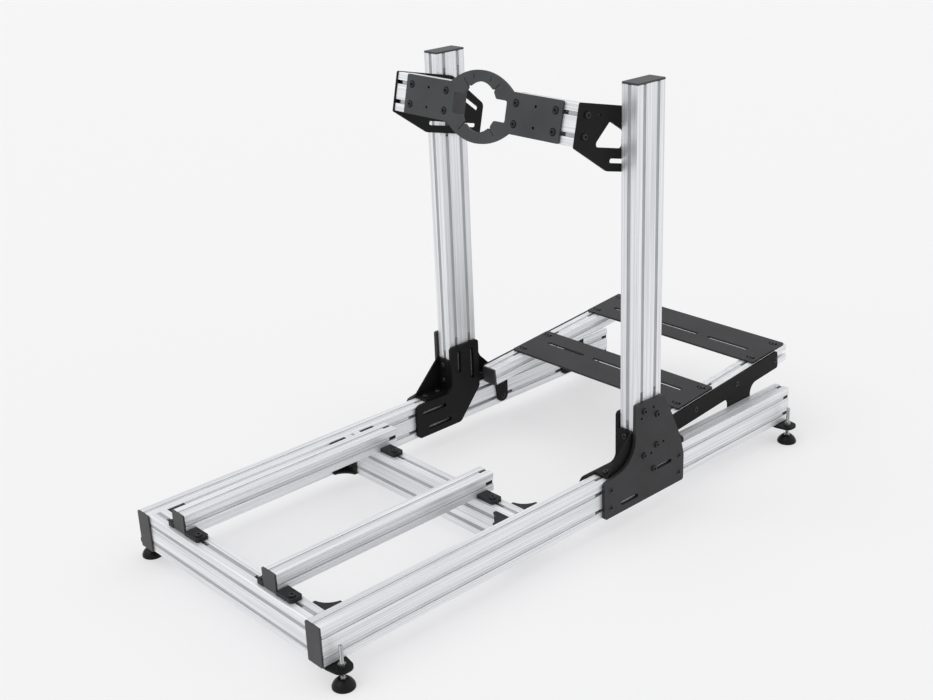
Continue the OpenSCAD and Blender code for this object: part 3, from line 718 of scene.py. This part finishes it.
class COCKPIT_OT_upright_bolts(bpy.types.Operator):
    """Bolt the uprights' plates and angle brackets"""
    bl_idname = "cockpit.upright_bolts"
    bl_label = "Upright bolts"

    def execute(self, context):
        size = context.scene.cockpit_sizes
        long_shank = 0.010
        corner = [(OUTER_FACE, y, z) for y in (-0.080, 0.1355) for z in SLOTS_Z]
        spots = both_sides(RIG, corner, (1, 0, 0))
        place_bolts("upright_outer_corner_bolts", size, spots, long_shank, low_head=True)
        middle = [(OUTER_FACE, 0.020, 0.122), (OUTER_FACE, 0.060, 0.103), (OUTER_FACE, 0.060, 0.033),
                  (OUTER_FACE, 0.020, 0.022), (OUTER_FACE, 0.0515, -0.0195)]
        place_bolts("upright_outer_bolts", size, both_sides(RIG, middle, (1, 0, 0)), long_shank)
        leg, near, far = BRACKET_T, 0.028, 0.066
        front = merged(both_sides(RIG, [(RAIL_X, -leg, near), (RAIL_X, -leg, far)], (0, -1, 0)),
                       both_sides(RIG, [(RAIL_X, -near, leg), (RAIL_X, -far, leg)], (0, 0, 1)))
        place_bolts("front_bracket_bolts", size, front)
        back = 2 * CELL
        rear = merged(both_sides(RIG, [(RAIL_X, back + leg, near), (RAIL_X, back + leg, far)], (0, 1, 0)),
                      both_sides(RIG, [(RAIL_X, back + near, leg), (RAIL_X, back + far, leg)], (0, 0, 1)))
        place_bolts("rear_bracket_bolts", size, rear)
        return {"FINISHED"}


class COCKPIT_OT_deck_bolts(bpy.types.Operator):
    """Bolt the wheel deck's side plates and ring plate"""
    bl_idname = "cockpit.deck_bolts"
    bl_label = "Wheel deck bolts"

    def execute(self, context):
        size = context.scene.cockpit_sizes
        stub_y, recess = PLATE + HALF, 0.002
        heights = (STUB_Z + HALF, STUB_Z + CELL + HALF)
        ends = both_sides(DECK, [(INNER_X, stub_y, z) for z in heights], (1, 0, 0))
        place_bolts("wheel_deck_end_bolts", size, ends)
        rows = [(x, recess, z) for x in (0.0995, 0.2035) for z in heights]
        place_bolts("wheel_ring_bolts", size, both_sides(DECK, rows, (0, -1, 0)), shank=0.004)
        return {"FINISHED"}


class COCKPIT_OT_seat_bolts(bpy.types.Operator):
    """Bolt the seat rails' side plates and cross plates"""
    bl_idname = "cockpit.seat_bolts"
    bl_label = "Seat bolts"

    def execute(self, context):
        size = context.scene.cockpit_sizes
        rail = both_sides(SEAT, [(INNER_X, s, -HALF) for s in (0.040, 0.150, 0.297, 0.441)], (1, 0, 0))
        place_bolts("seat_side_plate_bolts", size, rail, low_head=True)
        legs = [(INNER_X - PLATE, y, z) for y in (0.160, 0.408) for z in SLOTS_Z]
        place_bolts("seat_leg_bolts", size, both_sides(RIG, legs, (-1, 0, 0)), low_head=True)
        corner_in = 0.017
        spots = [(SEAT_RAIL_X, s, PLATE) for first, last in SEAT_PLATES
                 for s in (first + corner_in, last - corner_in)]
        place_bolts("seat_cross_plate_bolts", size, both_sides(SEAT, spots, (0, 0, 1)), low_head=True)
        return {"FINISHED"}


class COCKPIT_OT_base_bolts(bpy.types.Operator):
    """Bolt the pedal rails' clamps, the corner brackets and the foot plates"""
    bl_idname = "cockpit.base_bolts"
    bl_label = "Base bolts"

    def execute(self, context):
        size = context.scene.cockpit_sizes
        bar_mid = MIDDLE_BAR_Y - FRONT_Y
        clamp_t, flange_t, bolt_at = 0.008, 0.005, 0.022
        clamps = points_in(BASE, [(x + reach, y, clamp_t) for x in (LEFT_PEDAL_X, RIGHT_PEDAL_X)
                                  for reach in (0.053, -0.031) for y in (HALF, bar_mid)])
        place_bolts("pedal_clamp_bolts", size, (clamps, np.tile((0.0, 0.0, 1.0), (len(clamps), 1))))
        spots = []
        for y, way in ((CELL, 1), (bar_mid - HALF, -1), (bar_mid + HALF, 1)):
            bar_side = [(INNER_X - bolt_at, y + way * flange_t, z) for z in SLOTS_Z]
            rail_side = [(INNER_X - flange_t, y + way * bolt_at, z) for z in SLOTS_Z]
            spots.append(both_sides(BASE, bar_side, (0, way, 0)))
            spots.append(both_sides(BASE, rail_side, (-1, 0, 0)))
        place_bolts("corner_bracket_bolts", size, merged(*spots))
        under = -2 * CELL - PLATE
        feet = [(RAIL_X, y, under) for y in (FOOT_IN, BACK_Y - FRONT_Y - FOOT_IN)]
        place_bolts("foot_plate_bolts", size, both_sides(BASE, feet, (0, 0, -1)))
        return {"FINISHED"}


class COCKPIT_OT_feet(bpy.types.Operator):
    """Cut the thread on the levelling feet's studs"""
    bl_idname = "cockpit.feet"
    bl_label = "Levelling feet"

    def execute(self, context):
        size = context.scene.cockpit_sizes
        thread_deep = 0.00065
        bottom, top = low("foot_studs")[2], high("foot_studs")[2]
        spots = [(FOOT_X, y, bottom) for y in (FRONT_Y + FOOT_IN, BACK_Y - FOOT_IN)]
        stud = threaded_shape(STUD_R, size.thread_pitch, thread_deep, top - bottom)
        shape = copies(stud, *both_sides(np.eye(4), spots, (0, 0, 1)))
        studs = make_piece("foot_threaded_studs", shape, finish_called("Bright zinc plate"),
                           60)
        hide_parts("foot_studs")
        return {"FINISHED"}


class COCKPIT_OT_stage(bpy.types.Operator):
    """Build the pale floor, the soft lamps, the sky and the camera"""
    bl_idname = "cockpit.stage"
    bl_label = "Studio stage"

    def execute(self, context):
        scene = context.scene
        stage, colours = scene.cockpit_stage, scene.cockpit_colours
        reach = 30.0
        corners = reach * np.array([(-1, -1, 0), (1, -1, 0), (1, 1, 0), (-1, 1, 0)])
        mesh = bpy.data.meshes.new("studio_floor")
        mesh.from_pydata(corners.tolist(), [], [(0, 1, 2, 3)])
        floor = bpy.data.objects.new("studio_floor", mesh)
        scene.collection.objects.link(floor)
        # The floor glows a little as painted light, with no lamp behind it, so the shadows on it stay
        # pale.
        finish = new_finish("Floor with painted glow", Roughness=0.9, Specular_IOR_Level=0.2,
                            Base_Color=shade(colours.floor, 0.46),
                            Emission_Color=tuple(colours.floor), Emission_Strength=stage.glow)[0]
        mesh.materials.append(finish)

        self.put_lamp(scene, "key_lamp", (38, 0, -20), stage.key, 50)
        self.put_lamp(scene, "fill_lamp", (50, 0, 130), stage.fill, 60)
        self.put_sky(scene, stage)
        scene.view_settings.view_transform = "Standard"
        self.put_camera(scene, stage)
        return {"FINISHED"}

    def put_lamp(self, scene, name, turn, strength, soft):
        """A distant lamp turned by degrees about X, Y and Z, as wide as soft degrees of the sky."""
        lamp = bpy.data.lights.new(name, "SUN")
        lamp.energy = strength * math.pi / 2
        lamp.angle = math.radians(soft)
        holder = bpy.data.objects.new(name, lamp)
        holder.rotation_euler = [math.radians(v) for v in turn]
        scene.collection.objects.link(holder)

    def put_sky(self, scene, stage):
        """An even light all round, that the camera and mirrors see as a pale wall."""
        world = bpy.data.worlds.new("pale_studio")
        world.use_nodes = True
        tree = world.node_tree
        tree.nodes.clear()
        path = add_node(tree, "ShaderNodeLightPath")
        seen = add_node(tree, "ShaderNodeMath", {"operation": "MAXIMUM"},
                        {0: path.outputs["Is Camera Ray"], 1: path.outputs["Is Glossy Ray"]})
        seen = add_node(tree, "ShaderNodeMath", {"operation": "MAXIMUM"},
                        {0: seen.outputs[0], 1: path.outputs["Is Transmission Ray"]})
        light = add_node(tree, "ShaderNodeBackground", {}, {"Color": (1, 1, 1, 1), "Strength": stage.sky})
        wall = add_node(tree, "ShaderNodeBackground", {}, {"Color": linear("#F3F3F5"), "Strength": 1.0})
        mix = add_node(tree, "ShaderNodeMixShader", {},
                       {0: seen.outputs[0], 1: light.outputs[0], 2: wall.outputs[0]})
        add_node(tree, "ShaderNodeOutputWorld", {}, {"Surface": mix.outputs[0]})
        scene.world = world

    def put_camera(self, scene, stage):
        """Camera basis: back = (sin a cos e, -cos a cos e, sin e), right level, both rolled by r."""
        a, e, r = stage.azimuth, stage.elevation, stage.roll
        back = np.array([math.sin(a) * math.cos(e), -math.cos(a) * math.cos(e), math.sin(e)])
        level = np.array([math.cos(a), math.sin(a), 0.0])
        up = np.cross(back, level)
        right = math.cos(r) * level + math.sin(r) * up
        tall = -math.sin(r) * level + math.cos(r) * up
        place = np.eye(4)
        place[:3, :3] = np.stack([right, tall, back], axis=1)
        place[:3, 3] = CAMERA_AT
        lens = bpy.data.cameras.new("photo_camera")
        lens.sensor_fit, lens.sensor_width, lens.lens = "HORIZONTAL", 36.0, stage.lens
        camera = bpy.data.objects.new("photo_camera", lens)
        camera.matrix_world = Matrix(place.tolist())
        scene.collection.objects.link(camera)
        scene.camera = camera


class COCKPIT_PT_panel(bpy.types.Panel):
    """Lists the cockpit's pieces, sizes and colours"""
    bl_idname = "COCKPIT_PT_panel"
    bl_label = "Cockpit looks"
    bl_space_type = "VIEW_3D"
    bl_region_type = "UI"
    bl_category = "Cockpit"

    def draw(self, context):
        for step in STEPS:
            self.layout.operator(step.bl_idname)
        for name in GROUPS:
            group = getattr(context.scene, name)
            box = self.layout.box()
            for key in group.__annotations__:
                box.prop(group, key)


STEPS = (COCKPIT_OT_finishes, COCKPIT_OT_covers, COCKPIT_OT_upright_bolts, COCKPIT_OT_deck_bolts,
         COCKPIT_OT_seat_bolts, COCKPIT_OT_base_bolts, COCKPIT_OT_feet, COCKPIT_OT_stage)
GROUPS = {"cockpit_sizes": CockpitSizes, "cockpit_colours": CockpitColours, "cockpit_stage": CockpitStage}


def register():
    """Make the panel, the operators and their settings known to Blender."""
    for kind in (*GROUPS.values(), *STEPS, COCKPIT_PT_panel):
        bpy.utils.register_class(kind)
    for name, kind in GROUPS.items():
        setattr(bpy.types.Scene, name, PointerProperty(type=kind))


def unregister():
    """Take them away again."""
    for name in GROUPS:
        delattr(bpy.types.Scene, name)
    for kind in reversed((*GROUPS.values(), *STEPS, COCKPIT_PT_panel)):
        bpy.utils.unregister_class(kind)


def main():
    """Register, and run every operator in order."""
    register()
    for step in STEPS:
        group, name = step.bl_idname.split(".")
        getattr(getattr(bpy.ops, group), name)()


if __name__ == "__main__":
    main()
